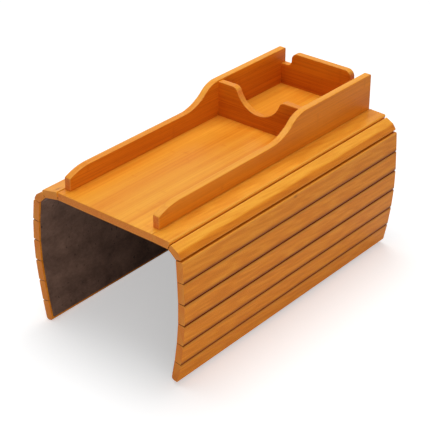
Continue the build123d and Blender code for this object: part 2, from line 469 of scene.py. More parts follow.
def build_felt(tree):
    """Wires the felt group."""
    given = add_node(tree, "NodeGroupInput").outputs
    place = given["Place"]
    clumps = stretched_noise(tree, place, CLUMP_DENSITY, detail=3.0, roughness=0.6)
    wisps = stretched_noise(tree, place, WISP_DENSITY, detail=4.0, roughness=0.7)
    fuzz = stretched_noise(tree, place, FUZZ_DENSITY, detail=3.0, roughness=0.7)
    specks = remap(tree, stretched_noise(tree, place, SPECK_DENSITY), *SPECK_RANGE)
    level = total(
        tree,
        MIDDLE_LEVEL,
        centred(tree, clumps, given["Mottle"]),
        centred(tree, wisps, WISP_CONTRAST),
        centred(tree, fuzz, FUZZ_CONTRAST),
    )
    mottled = mix_colour(tree, level, DARK_FELT, PALE_FELT)
    speckled = mix_colour(tree, product(tree, specks, SPECK_STRENGTH), mottled, SPECK_BROWN)
    height = total(tree, centred(tree, wisps, WISP_RELIEF), centred(tree, fuzz, FUZZ_RELIEF))
    add_node(tree, "NodeGroupOutput", {"Colour": speckled, "Height": height})


build_felt(felt_group)
print("felt group:", len(felt_group.nodes), "nodes")

# %% [markdown]
# A material places a shared group and feeds its colour, roughness and height to a Principled BSDF.
# The satin lacquer is a thin coat whose strength is the same everywhere, so it is typed on the
# shader itself.

# %% Helpers for materials
LACQUER = {"Coat Weight": 0.05, "Coat Roughness": 0.30, "Specular IOR Level": 0.15}
GRAIN_RELIEF = {"Strength": 0.35, "Distance": 0.12 * MM}


def new_material(name):
    """An empty node material, its tree and its shader."""
    material = bpy.data.materials.new(name)
    material.use_nodes = True
    tree = material.node_tree
    shader = next(node for node in tree.nodes if node.type == "BSDF_PRINCIPLED")
    return material, tree, shader


def texture_place(tree, name):
    """The Object or Normal output of a Texture Coordinate node."""
    return add_node(tree, "ShaderNodeTexCoord").outputs[name]


def relief(tree, height, look):
    """The normal of a surface raised by a height."""
    return result(tree, "ShaderNodeBump", {"Height": height, **look})


def bamboo_finish(tree, shader, inputs):
    """Feeds the grain group to the shader under a satin lacquer."""
    grain = add_node(tree, "ShaderNodeGroup", inputs, node_tree=bamboo).outputs
    feed(tree, shader, {
        "Base Color": grain["Colour"],
        "Roughness": grain["Roughness"],
        "Normal": relief(tree, grain["Height"], GRAIN_RELIEF),
        **LACQUER,
    })


# %% [markdown]
# The board, rails, divider and rear panel are straight boards. Their cut ends and rounded edges
# are found from the direction of the surface: only an end faces along the fibres, and only a
# rounded edge faces neither straight across nor along. The narrow sawn faces are painted paler
# than the wide faces, as a painted highlight.

# %% Bamboo for straight boards
# The narrow faces are painted paler than the wide ones: a painted highlight.
NARROW_FACE_HIGHLIGHT = 0.24
SAWN_FACING = (0.60, 0.85)
END_FACING = (0.75, 0.95)
ROUND_FACING = (0.97, 0.80)


def axis_order(tree, vector, order):
    """The vector with its axes reordered, such as "ZXY"."""
    parts = parts_of(tree, vector)
    return from_parts(tree, **{axis: parts[letter] for axis, letter in zip("XYZ", order)})


def board_material(name, order, seed, tone, strip_width):
    """Bamboo for a straight board. order names the axes across, along and through the board."""
    material, tree, shader = new_material(name)
    facing = parts_of(tree, axis_order(tree, texture_place(tree, "Normal"), order))
    across, along, through = [calculate(tree, "ABSOLUTE", part) for part in facing]
    straightest = calculate(tree, "MAXIMUM", calculate(tree, "MAXIMUM", across, along), through)
    bamboo_finish(tree, shader, {
        "Place": axis_order(tree, texture_place(tree, "Object"), order),
        "Seed": seed,
        # The narrow faces get a painted highlight in their tone.
        "Tone": remap(tree, across, *SAWN_FACING, tone, tone + NARROW_FACE_HIGHLIGHT),
        "Strip Width": strip_width,
        "End Grain": remap(tree, along, *END_FACING),
        "Edge": remap(tree, straightest, *ROUND_FACING),
    })
    return material


# %% [markdown]
# The slats run at every tilt, so they can't read Object coordinates. Their node tree, further
# down, stores in each point its place on the flat slat, its tone with its painted light and shade,
# its edge wear with a painted highlight, its painted shade in the grooves and the place of the
# slat's knot, and this material reads them back. The cut ends get none of the painted shade. The
# felt reads its stored place in the same way, and its loose fibres give it a soft sheen.

# %% Bamboo for the slats, and felt
KNOT_STRETCH = (1.0, 0.55, 1.0)
SLAT_GRAIN = {"Strip Width": 11 * MM, "Fibre Contrast": 0.42, "Streak Contrast": 0.42}
FELT_RELIEF = {"Strength": 0.8, "Distance": 0.35 * MM}
FELT_LOOK = {
    "Roughness": 0.95,
    "Specular IOR Level": 0.2,
    "Sheen Weight": 0.10,
    "Sheen Roughness": 0.5,
}


def stored(tree, name, output="Fac"):
    """What the mesh stores under a name."""
    return add_node(tree, "ShaderNodeAttribute", attribute_name=name).outputs[output]


def slat_material():
    """Bamboo for the slats, read from what their meshes store."""
    material, tree, shader = new_material("bamboo_slats")
    place = stored(tree, "grain_place", "Vector")
    to_knot = vector_math(tree, "SUBTRACT", place, stored(tree, "knot_place", "Vector"))
    squeezed = vector_math(tree, "MULTIPLY", to_knot, KNOT_STRETCH)
    along = calculate(tree, "ABSOLUTE", parts_of(tree, texture_place(tree, "Normal"))[1])
    end_grain = remap(tree, along, *END_FACING)
    bamboo_finish(tree, shader, {
        "Place": place,
        "Tone": stored(tree, "tone"),
        "End Grain": end_grain,
        "Edge": stored(tree, "edge_wear_and_highlight"),
        # Painted shade in the grooves, kept off the cut ends.
        "Groove": product(tree, stored(tree, "painted_groove_shade"), minus(tree, 1.0, end_grain)),
        "From Knot": vector_math(tree, "LENGTH", squeezed, output="Value"),
        **SLAT_GRAIN,
    })
    return material


def felt_material():
    """The brown-grey lining."""
    material, tree, shader = new_material("brown_felt")
    place = stored(tree, "lining_place", "Vector")
    fibres = add_node(tree, "ShaderNodeGroup", {"Place": place}, node_tree=felt_group).outputs
    feed(tree, shader, {
        "Base Color": fibres["Colour"],
        "Normal": relief(tree, fibres["Height"], FELT_RELIEF),
        **FELT_LOOK,
    })
    return material


slat_bamboo = slat_material()
brown_felt = felt_material()
print("materials:", slat_bamboo.name, brown_felt.name)

# %% [markdown]
# The board, rails, divider and rear panel keep their CAD shape. Their imported triangles are
# loose, so each face would shade flat. A small Geometry Nodes modifier welds the triangles and
# marks only real corners as sharp, and a Weighted Normal modifier keeps the wide faces flat beside
# their rounded edges. Each board gets a bamboo of its own, with the fibres along its length, as it
# is cut in the workshop.

# %% Boards, rails, divider and rear panel


def shade_smooth(tree, geometry):
    """The geometry with all its faces shaded smooth."""
    inputs = {"Geometry": geometry, "Shade Smooth": True}
    return result(tree, "GeometryNodeSetShadeSmooth", inputs, domain="FACE")


def weld_tree():
    """Welds loose triangles and shades them smooth up to a corner angle."""
    inputs = {
        "Geometry": (GEOMETRY, None),
        "Weld Distance": (FLOAT, 0.002 * MM),
        "Corner Angle": (FLOAT, math.radians(32)),
    }
    tree = new_group("weld_and_smooth", "GeometryNodeTree", inputs, {"Geometry": GEOMETRY})
    given = add_node(tree, "NodeGroupInput").outputs
    weld_inputs = {"Geometry": given["Geometry"], "Distance": given["Weld Distance"]}
    welded = result(tree, "GeometryNodeMergeByDistance", weld_inputs)
    angle = result(tree, "GeometryNodeInputMeshEdgeAngle")
    corner_inputs = {0: angle, 1: given["Corner Angle"]}
    corner = result(tree, "FunctionNodeCompare", corner_inputs, operation="GREATER_THAN")
    sharpen = {"Geometry": shade_smooth(tree, welded), "Selection": corner, "Shade Smooth": False}
    sharp = result(tree, "GeometryNodeSetShadeSmooth", sharpen, domain="EDGE")
    add_node(tree, "NodeGroupOutput", {0: sharp})
    return tree


weld = weld_tree()
# For each board: its axes across, along and through, a seed, a tone and the width of its strips.
# The board's higher tone is painted light from above, and the lower tones of the rails and divider
# are painted shade.
BOARDS = {
    "centre_board": ("XYZ", 0.0, 0.14, 6.5 * MM),
    "left_rail": ("ZYX", 1.3, -0.14, 21 * MM),
    "right_rail": ("ZYX", 2.9, -0.08, 21 * MM),
    "notched_divider": ("ZXY", 4.1, -0.20, 21 * MM),
    "rear_panel": ("ZXY", 5.7, -0.14, 21 * MM),
}


def dress_node(name, material):
    """Gives a CAD node its own material, welded and smoothly shaded."""
    node = frame["nodes"][name]
    node.data.materials.clear()
    node.data.materials.append(material)
    welding = node.modifiers.new("weld_and_smooth", "NODES")
    welding.node_group = weld
    weighted = node.modifiers.new("flat_faces", "WEIGHTED_NORMAL")
    weighted.keep_sharp = True


for name, look in BOARDS.items():
    dress_node(name, board_material(f"bamboo_{name}", *look))
print("dressed boards:", list(BOARDS))

# %% [markdown]
# The screws come up through the board from below and the lining covers their heads. They are zinc
# plated steel, so their material is a metal with fine turning marks round the shank.

# %% Screws
TURNING_DENSITY = (300.0, 300.0, 9000.0)
DARK_ZINC = (0.50, 0.50, 0.49, 1)
PALE_ZINC = (0.66, 0.65, 0.62, 1)
ZINC_ROUGHNESS = (0.2, 0.8, 0.28, 0.46)


def screw_material():
    """Zinc plated steel with fine rings from the lathe."""
    material, tree, shader = new_material("zinc_plated_steel")
    rings = stretched_noise(tree, texture_place(tree, "Object"), TURNING_DENSITY)
    feed(tree, shader, {
        "Base Color": mix_colour(tree, rings, DARK_ZINC, PALE_ZINC),
        "Roughness": remap(tree, rings, *ZINC_ROUGHNESS),
        "Metallic": 1.0,
    })
    return material


steel = screw_material()
screw_nodes = sorted(name for name in frame["nodes"] if name.endswith("screws"))
for name in screw_nodes:
    dress_node(name, steel)
print("dressed screws:", screw_nodes)

# %% [markdown]
# All slats are one shape with different sizes, which is what Geometry Nodes are for. The tree
# draws the section from four corners and rounds them, sweeps the section along the tray's length,
# stores where each point lies on the flat slat, tilts the slat about its fold line and moves it
# there. These are its inputs. Lift is the felt under the slat's foot, play is the gap that it
# leaves on one side, and lean is how far that side slopes.

# %% Inputs of the slat tree
SLAT_INPUTS = {
    "Width": FLOAT,
    "Thickness": FLOAT,
    "Length": FLOAT,
    "Lift": FLOAT,
    "Inner Play": FLOAT,
    "Outer Play": FLOAT,
    "Inner Stain Depth": FLOAT,
    "Outer Stain Depth": FLOAT,
    "Inner Lean": FLOAT,
    "Outer Lean": FLOAT,
    "Crown": FLOAT,
    "Inner Top Round": FLOAT,
    "Outer Top Round": FLOAT,
    "Outer Foot Round": FLOAT,
    "Foot Round": FLOAT,
    "Knot": VECTOR,
    "Painted Light": FLOAT,
    "Seed": "NodeSocketInt",
    "Side": FLOAT,
    "Tilt": FLOAT,
    "Fold Place": VECTOR,
    "Material": "NodeSocketMaterial",
}
print("inputs of the slat tree:", len(SLAT_INPUTS))

# %% [markdown]
# The section is a quadrilateral that a Fillet Curve node rounds. Its corners come in the order
# outer foot, inner foot, inner top, outer top, and an Index Switch gives each of them a radius of
# its own.

# %% Section of a slat
CORNER_STEPS = 7
CORNER_ROUNDS = {
    "Outer Foot": "Outer Foot Round",
    "Inner Foot": "Foot Round",
    "Inner Top": "Inner Top Round",
    "Outer Top": "Outer Top Round",
}


def side_reach(tree, play, lean, height):
    """How far a side lies past its fold plane at a height above the felt's free face."""
    slope = product(tree, height, calculate(tree, "TANGENT", lean))
    return minus(tree, slope, calculate(tree, "DIVIDE", play, calculate(tree, "COSINE", lean)))


def section_corners(tree, given, shoulder):
    """The four corners of the section by name. X runs across and Y downwards."""
    corners = {}
    for level, height in (("Foot", given["Lift"]), ("Top", shoulder)):
        down = product(tree, height, -1.0)
        inner = side_reach(tree, given["Inner Play"], given["Inner Lean"], height)
        outer = side_reach(tree, given["Outer Play"], given["Outer Lean"], height)
        corners[f"Inner {level}"] = from_parts(tree, X=product(tree, inner, -1.0), Y=down)
        corners[f"Outer {level}"] = from_parts(tree, X=total(tree, given["Width"], outer), Y=down)
    return corners


def rounded_outline(tree, given, corners):
    """The section's outline with each corner rounded by its own radius."""
    points = {f"Point {place + 1}": corners[name] for place, name in enumerate(CORNER_ROUNDS)}
    sharp = result(tree, "GeometryNodeCurvePrimitiveQuadrilateral", points, mode="POINTS")
    radius = add_node(tree, "GeometryNodeIndexSwitch", data_type="FLOAT")
    while len(radius.index_switch_items) < len(CORNER_ROUNDS):
        radius.index_switch_items.new()
    tree.links.new(result(tree, "GeometryNodeInputIndex"), radius.inputs["Index"])
    for place, name in enumerate(CORNER_ROUNDS.values()):
        tree.links.new(given[name], radius.inputs[place + 1])
    fillet = {"Curve": sharp, "Count": CORNER_STEPS, "Radius": radius.outputs[0]}
    return result(tree, "GeometryNodeFilletCurve", {**fillet, "Limit Radius": True}, mode="POLY")


# %% [markdown]
# The narrow corner slat has a raised face: two flats that meet in a soft ridge a little past its
# middle. The upper side of the outline is lifted to that ridge, and the points below it stay. The
# other slats have a crown of zero, so the same steps leave them flat.

# %% Crown of the corner slat
CROWN_CUTS = 9
# Where the ridge stands, from -1 at the slat's inner edge to 1 at its outer edge.
RIDGE_SHARE = 0.14
RIDGE_SOFTNESS = 0.14
SHOULDER_BAND = 1.2 * MM


def top_share(tree, corners, across):
    """Where a point lies over the upper side, from -1 at its inner edge to 1 at its outer edge."""
    inner = parts_of(tree, corners["Inner Top"])[0]
    outer = parts_of(tree, corners["Outer Top"])[0]
    middle = product(tree, total(tree, inner, outer), 0.5)
    half = product(tree, minus(tree, outer, inner), 0.5)
    return calculate(tree, "DIVIDE", minus(tree, across, middle), half)


def crown_face(tree, given, outline, corners, shoulder):
    """Raises the outline's upper side to a soft ridge."""
    cut_inputs = {"Curve": outline, "Cuts": CROWN_CUTS}
    divided = result(tree, "GeometryNodeSubdivideCurve", cut_inputs)
    place = parts_of(tree, result(tree, "GeometryNodeInputPosition"))
    share = top_share(tree, corners, place[0])
    rising = calculate(tree, "DIVIDE", total(tree, 1.0, share), 1 + RIDGE_SHARE)
    falling = calculate(tree, "DIVIDE", minus(tree, 1.0, share), 1 - RIDGE_SHARE)
    ridge = calculate(tree, "SMOOTH_MIN", rising, falling, RIDGE_SOFTNESS)
    ridge = calculate(tree, "MAXIMUM", ridge, 0.0)
    height = product(tree, place[1], -1.0)
    at_top = remap(tree, height, minus(tree, shoulder, SHOULDER_BAND), shoulder)
    offset = from_parts(tree, Y=product(tree, given["Crown"], ridge, at_top, -1.0))
    moved = {"Geometry": divided, "Offset": offset}
    return result(tree, "GeometryNodeSetPosition", moved)


# %% [markdown]
# What the material needs is worked out while the slat is still flat, and stored in its points. The
# tone has a random part of each slat's own, a share of painted light that makes the slats on top
# of the arm paler, and painted shade that darkens the outer facet of a crowned slat, so that its
# ridge shows. Handling wears the two upper edges, and the paler edges are also a painted
# highlight, so both fade with the distance from them. Painted shade starts at a depth of its own
# on each side of the slat and stops short of the foot, and beside a groove it also spreads a
# little way over the face.

# %% Tone with painted light and shade, edge wear with painted highlight, and painted shade
TONE_SCATTER = 0.10
FACET_FADE = 0.08
# The outer facet of a crowned slat is painted darker, a painted shade that makes its ridge show.
FACET_SHADE = -0.30
WEAR_AND_HIGHLIGHT_RANGE = (0.9 * MM, 2.6 * MM, 1.0, 0.0)
SHADE_FADE = 0.8 * MM
# A side whose painted shade starts nearer to the face than this also paints shade over the face
# beside the groove.
GROOVE_DEPTH_LIMIT = 1.0 * MM
# The painted shade beside a groove starts and ends at these distances from it, at these strengths.
GROOVE_SHADE_SPREAD = {
    "Inner": (0.6 * MM, 2.4 * MM, 0.45, 0.0),
    "Outer": (1.0 * MM, 4.6 * MM, 0.90, 0.0),
}


def slat_tone(tree, given, share):
    """The tone of a slat: its random part, its painted light on top of the arm and the painted
    shade of its outer facet.
    """
    facet_range = (RIDGE_SHARE - FACET_FADE, RIDGE_SHARE + FACET_FADE)
    facet_shade = remap(tree, share, *facet_range, 0.0, FACET_SHADE)
    crowned = calculate(tree, "GREATER_THAN", given["Crown"], 0.0)
    limits = {2: -TONE_SCATTER, 3: TONE_SCATTER, "ID": 2, "Seed": given["Seed"]}
    scatter = add_node(tree, "FunctionNodeRandomValue", limits, data_type="FLOAT").outputs[1]
    return total(tree, scatter, given["Painted Light"], product(tree, facet_shade, crowned))


def slat_groove_shade(tree, given, across, height, distances):
    """How much painted shade a point has. distances are those from the upper edges."""
    top = total(tree, given["Lift"], given["Thickness"])
    near_inner = calculate(tree, "LESS_THAN", across, product(tree, given["Width"], 0.5))
    depths = {0: near_inner, 2: given["Outer Stain Depth"], 3: given["Inner Stain Depth"]}
    starts = result(tree, "ShaderNodeMix", depths, data_type="FLOAT")
    below = remap(tree, minus(tree, minus(tree, top, height), starts), 0.0, SHADE_FADE)
    above_foot = remap(tree, minus(tree, height, given["Lift"]), 0.0, SHADE_FADE)
    painted_shade = product(tree, below, above_foot)
    for side, spread_range in GROOVE_SHADE_SPREAD.items():
        in_groove = calculate(tree, "LESS_THAN", given[f"{side} Stain Depth"], GROOVE_DEPTH_LIMIT)
        spread = product(tree, remap(tree, distances[side], *spread_range), in_groove, above_foot)
        painted_shade = calculate(tree, "MAXIMUM", painted_shade, spread)
    return painted_shade


# %% [markdown]
# The whole tree. The grain and the knot get the same random shift, so that no two slats are cut
# from the same cane and the knot still stays in its place. The left wing is the right one seen in
# a mirror, so its faces are flipped back outwards. Realize Instances and Set Material come last.

# %% Slat tree
PATH_POINTS = 25
GRAIN_SCATTER = 3.0


def store(tree, geometry, name, value, data_type="FLOAT"):
    """The geometry with a value stored in its points."""
    inputs = {"Geometry": geometry, "Name": name, "Value": value}
    settings = {"data_type": data_type, "domain": "POINT"}
    return result(tree, "GeometryNodeStoreNamedAttribute", inputs, **settings)


def swept_slat(tree, given, section):
    """The section swept along Y over the slat's length, with closed ends."""
    half = product(tree, given["Length"], 0.5)
    start = from_parts(tree, Y=product(tree, half, -1.0))
    end = from_parts(tree, Y=half)
    line = result(tree, "GeometryNodeCurvePrimitiveLine", {"Start": start, "End": end})
    path_inputs = {"Curve": line, "Count": PATH_POINTS}
    path = result(tree, "GeometryNodeResampleCurve", path_inputs)
    sweep_inputs = {"Curve": path, "Profile Curve": section, "Fill Caps": True}
    return result(tree, "GeometryNodeCurveToMesh", sweep_inputs)


def with_looks(tree, given, slat, corners):
    """The flat slat with all that its material reads stored in its points."""
    position = result(tree, "GeometryNodeInputPosition")
    limits = {0: (-GRAIN_SCATTER,) * 3, 1: (GRAIN_SCATTER,) * 3, "ID": 1, "Seed": given["Seed"]}
    shift = result(tree, "FunctionNodeRandomValue", limits, data_type="FLOAT_VECTOR")
    across, _, height = parts_of(tree, position)
    section_place = from_parts(tree, X=across, Y=product(tree, height, -1.0))
    distances = {
        side: vector_math(tree, "DISTANCE", section_place, corners[f"{side} Top"], output="Value")
        for side in GROOVE_SHADE_SPREAD
    }
    from_edge = calculate(tree, "MINIMUM", distances["Inner"], distances["Outer"])
    tone = slat_tone(tree, given, top_share(tree, corners, across))
    painted_shade = slat_groove_shade(tree, given, across, height, distances)
    grain_place = vector_math(tree, "ADD", position, shift)
    knot_place = vector_math(tree, "ADD", given["Knot"], shift)
    slat = store(tree, slat, "grain_place", grain_place, data_type="FLOAT_VECTOR")
    slat = store(tree, slat, "knot_place", knot_place, data_type="FLOAT_VECTOR")
    slat = store(tree, slat, "tone", tone)
    slat = store(tree, slat, "edge_wear_and_highlight", remap(tree, from_edge, *WEAR_AND_HIGHLIGHT_RANGE))
    return store(tree, slat, "painted_groove_shade", painted_shade)


def hung_slat(tree, given, slat):
    """The slat tilted about its fold line and moved to it, mirrored on the left."""
    turn = {"Geometry": slat, "Rotation": from_parts(tree, Y=given["Tilt"])}
    tilted = result(tree, "GeometryNodeTransform", turn)
    mirror = from_parts(tree, X=given["Side"], Y=1.0, Z=1.0)
    move = {"Geometry": tilted, "Translation": given["Fold Place"], "Scale": mirror}
    placed = result(tree, "GeometryNodeTransform", move)
    side = {0: given["Side"], 1: 0.0}
    is_left = result(tree, "FunctionNodeCompare", side, operation="LESS_THAN")
    flip = {"Mesh": placed, "Selection": is_left}
    return result(tree, "GeometryNodeFlipFaces", flip)


def slat_tree():
    """A slat drawn flat, dressed with what its material reads, and hung at its fold."""
    inputs = {name: (kind, None) for name, kind in SLAT_INPUTS.items()}
    tree = new_group("slat", "GeometryNodeTree", inputs, {"Geometry": GEOMETRY})
    given = add_node(tree, "NodeGroupInput").outputs
    shoulder = minus(tree, total(tree, given["Lift"], given["Thickness"]), given["Crown"])
    corners = section_corners(tree, given, shoulder)
    outline = rounded_outline(tree, given, corners)
    section = crown_face(tree, given, outline, corners, shoulder)
    dressed = with_looks(tree, given, swept_slat(tree, given, section), corners)
    smooth = shade_smooth(tree, hung_slat(tree, given, dressed))
    real = result(tree, "GeometryNodeRealizeInstances", {"Geometry": smooth})
    finish = {"Geometry": real, "Material": given["Material"]}
    finished = result(tree, "GeometryNodeSetMaterial", finish)
    add_node(tree, "NodeGroupOutput", {0: finished})
    return tree


slat_nodes = slat_tree()
print("slat tree:", len(slat_nodes.nodes), "nodes")

# %% [markdown]
# Running the tree: an empty mesh gets the tree as a modifier, the inputs are set by their socket
# identifiers, and the result is copied out as a plain mesh. The ends are then broken with a small
# bevel, as a workshop does with one pass of sandpaper, and the wide faces are kept flat by
# weighted normals. The signed volume tells whether the faces point outwards.

# %% Run a tree to a plain mesh
SANDED_STEPS = 3
SANDED_ANGLE = math.radians(40)


def signed_volume(mesh):
    """The volume in cubic millimetres, negative where the faces point inwards."""
    mesh.calc_loop_triangles()
    points = np.array([vertex.co for vertex in mesh.vertices])
    corners = points[np.array([triangle.vertices for triangle in mesh.loop_triangles])]
    sixfold = np.einsum("ij,ij->i", corners[:, 0], np.cross(corners[:, 1], corners[:, 2]))
    return sixfold.sum() / 6 / MM**3


def plain_copy(thing, name):
    """The evaluated shape of an object as a mesh object of its own; the first is removed."""
    graph = bpy.context.evaluated_depsgraph_get()
    mesh = bpy.data.meshes.new_from_object(
        thing.evaluated_get(graph), preserve_all_data_layers=True, depsgraph=graph
    )
    bpy.data.objects.remove(thing)
    mesh.name = name
    made = bpy.data.objects.new(name, mesh)
    bpy.context.scene.collection.objects.link(made)
    return made


def run_tree(tree, name, values):
    """A mesh object made by a tree with the given input values."""
    carrier = bpy.data.objects.new(f"{name}_carrier", bpy.data.meshes.new(f"{name}_carrier"))
    bpy.context.scene.collection.objects.link(carrier)
    modifier = carrier.modifiers.new("tree", "NODES")
    modifier.node_group = tree
    for item in tree.interface.items_tree:
        if item.in_out == "INPUT":
            modifier[item.identifier] = values[item.name]
    return plain_copy(carrier, name)


def sand_ends(piece, width):
    """Breaks the square ends and keeps the wide faces flat in the shading."""
    bevel = piece.modifiers.new("sanded_ends", "BEVEL")
    bevel.width = width
    bevel.segments = SANDED_STEPS
    bevel.limit_method = "ANGLE"
    bevel.angle_limit = SANDED_ANGLE
    piece.modifiers.new("flat_faces", "WEIGHTED_NORMAL")
    return plain_copy(piece, piece.name)


# %% [markdown]
# Now the sixteen slats. The slat beside the board has a nearly square inner edge, because it butts
# against the board. The sides that face each other at the corner of the arm lean apart. The last
# slat has a round hem on both faces, where a hand takes hold of it. The CAD gaps are there so that
# its solids never touch. Here the slats stand a little closer, with just a seam between them.

# %% Sizes and looks of the slats
TOP_ROUND = 1.4 * MM
BUTT_ROUND = 0.6 * MM
CORNER_ROUND = 1.2 * MM
FOOT_ROUND = 0.3 * MM
HEM_ROUND = 3.0 * MM
END_ROUND = 0.5 * MM
SEAM = 0.18 * MM
BUTT_REACH = 0.15 * MM
FIRST_LEAN = math.radians(14)
CORNER_LEANS = (math.radians(17), math.radians(37))
CORNER_CROWN = 2.2 * MM
# Depths at which the painted shade starts on a slat's sides.
GROOVE_SHADE_DEPTH = 0.05 * MM
CORNER_SHADE_DEPTH = 5.2 * MM
SIDE_SHADE_DEPTH = 5.6 * MM
NO_SHADE_DEPTH = 20.0 * MM
# A slat without a knot has it metres away.
NO_KNOT = Vector((0.0, 5.0, 0.0))
# The first slat that hangs at the side of the arm.
FIRST_SIDE_SLAT = 3
# The slats on top of the arm are painted paler than those on its sides, as painted light from
# above.
TOP_PAINTED_LIGHT = {1: 0.15, 2: 0.20}
FIRST_SEEDS = {"right": 10, "left": 40}
# The two knots that show in the photograph, as places on the flat slat.
KNOTS = {
    ("left", 1): Vector((5.4, -172.5, 10.0)) * MM,
    ("right", 3): Vector((2.6, -5.3, 10.0)) * MM,
}
print("seam between slats in mm:", round(SEAM / MM, 2), "knots:", len(KNOTS))

# %% [markdown]
# Each slat is made in its rest place, rides on its own body and stands for the CAD slat. Its
# corners are compared with the CAD slat's box, which shows that it is where the model says.

# %% Slats of both wings


def shade_depths(number, count):
    """Where the painted shade starts on the inner and on the outer side of a slat."""
    inner = CORNER_SHADE_DEPTH if number <= FIRST_SIDE_SLAT else GROOVE_SHADE_DEPTH
    outer = {1: SIDE_SHADE_DEPTH, 2: CORNER_SHADE_DEPTH, count: NO_SHADE_DEPTH}
    return inner, outer.get(number, GROOVE_SHADE_DEPTH)


def make_slat(side_name, number):
    """One slat of a wing, riding on its own body in place of the CAD slat."""
    slat = wings[side_name][number - 1]
    count = len(wings[side_name])
    first, corner, last = number == 1, number == 2, number == count
    top_round = CORNER_ROUND if corner else TOP_ROUND
    inner_shade, outer_shade = shade_depths(number, count)
    values = {
        "Width": slat["width"] + fold_gap,
        "Thickness": wood_thickness,
        "Length": tray_length,
        "Lift": felt_thickness,
        "Inner Play": -BUTT_REACH if first else SEAM,
        "Outer Play": fold_gap / 2 if last else SEAM,
        "Inner Stain Depth": inner_shade,
        "Outer Stain Depth": outer_shade,
        "Inner Lean": CORNER_LEANS[0] if corner else 0.0,
        "Outer Lean": FIRST_LEAN if first else CORNER_LEANS[1] if corner else 0.0,
        "Crown": CORNER_CROWN if corner else 0.0,
        "Inner Top Round": BUTT_ROUND if first else top_round,
        "Outer Top Round": HEM_ROUND if last else top_round,
        "Outer Foot Round": HEM_ROUND if last else FOOT_ROUND,
        "Foot Round": FOOT_ROUND,
        "Knot": KNOTS.get((side_name, number), NO_KNOT),
        "Painted Light": TOP_PAINTED_LIGHT.get(number, 0.0),
        "Seed": FIRST_SEEDS[side_name] + number,
        "Side": float(SIDES[side_name]),
        "Tilt": slat["tilt"],
        "Fold Place": slat["place"],
        "Material": slat_bamboo,
    }
    node = f"{side_name}_slat_{number}"
    piece = sand_ends(run_tree(slat_nodes, f"{node}_wood", values), END_ROUND)
    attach(piece, slat["body"])
    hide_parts(node)
    return piece


for side_name, slats in wings.items():
    for number in range(1, len(slats) + 1):
        piece = make_slat(side_name, number)
        low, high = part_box(f"{side_name}_slat_{number}")
        points = np.array([vertex.co for vertex in piece.data.vertices])
        off = max(np.abs(points.min(0) - low).max(), np.abs(points.max(0) - high).max())
        print(piece.name, "volume", round(signed_volume(piece.data)), "mm3, off the CAD box by",
              round(off / MM, 3), "mm")

# %% [markdown]
# The lining is one continuous felt, glued to the wood and free only at the folds. A piece of it
# runs from the middle of one slat to the middle of the next, so that each piece crosses one fold.
# Every piece is a closed slab, drawn flat in rows across the fold and columns along it. It
# remembers its flat place, which the felt's pattern reads.

# %% Slabs of felt
FOLD_REACH = 1.4 * MM
FELT_STEP = 2.5 * MM
FOLD_STEPS = 10


def lining_rows(start, end):
    """Distances from the fold line at which the felt has a row of points, closer at the fold."""
    before = max(1, round((-FOLD_REACH - start) / FELT_STEP))
    after = max(1, round((end - FOLD_REACH) / FELT_STEP))
    return [
        *np.linspace(start, -FOLD_REACH, before + 1)[:-1],
        *np.linspace(-FOLD_REACH, FOLD_REACH, FOLD_STEPS + 1),
        *np.linspace(FOLD_REACH, end, after + 1)[1:],
    ]


def slab_faces(wide, long):
    """The faces of a closed slab of two layers, each of so many rows and columns of points."""

    def index(layer, row, column):
        return (layer * wide + row) * long + column

    faces = []
    for row in range(wide - 1):
        for column in range(long - 1):
            ring = [(row, column), (row, column + 1), (row + 1, column + 1), (row + 1, column)]
            faces.append([index(0, *corner) for corner in ring])
            faces.append([index(1, *corner) for corner in reversed(ring)])
    rim = [(row, 0) for row in range(wide)]
    rim += [(wide - 1, column) for column in range(1, long)]
    rim += [(row, long - 1) for row in range(wide - 2, -1, -1)]
    rim += [(0, column) for column in range(long - 2, 0, -1)]
    for near, far in zip(rim, rim[1:] + rim[:1]):
        faces.append([index(0, *near), index(0, *far), index(1, *far), index(1, *near)])
    return faces


def felt_slab(name, rows, place_of, run_of):
    """A closed slab of felt. place_of bends a flat point, and run_of places it on the lining."""
    columns = round((tray_length - 2 * felt_end_inset) / FELT_STEP)
    first_y, last_y = board_low.y + felt_end_inset, board_high.y - felt_end_inset
    lengths = np.linspace(first_y, last_y, columns + 1)
    flat = [(row, y, height) for height in (0.0, felt_thickness) for row in rows for y in lengths]
    mesh = bpy.data.meshes.new(name)
    mesh.from_pydata([place_of(*point) for point in flat], [], slab_faces(len(rows), len(lengths)))
    if signed_volume(mesh) < 0:
        mesh.flip_normals()
    runs = np.array([(run_of(row), y, height) for row, y, height in flat])
    lining_place = mesh.attributes.new("lining_place", "FLOAT_VECTOR", "POINT")
    lining_place.data.foreach_set("vector", runs.ravel())
    mesh.materials.append(brown_felt)
    piece = bpy.data.objects.new(name, mesh)
    bpy.context.scene.collection.objects.link(piece)
    return piece


# %% [markdown]
# At rest each piece of the lining is already bent about its fold line, with a smooth easing across
# the fold. A cloth simulation would only find the same shape, because glue holds the felt
# everywhere but at the folds.

# %% Lining
HEM_INSET = 4.0 * MM
BOARD_GRIP = 6.0 * MM


def eased(start, end, value):
    """A share from 0 to 1 that starts and ends smoothly."""
    share = np.clip((value - start) / (end - start), 0, 1)
    return share * share * (3 - 2 * share)


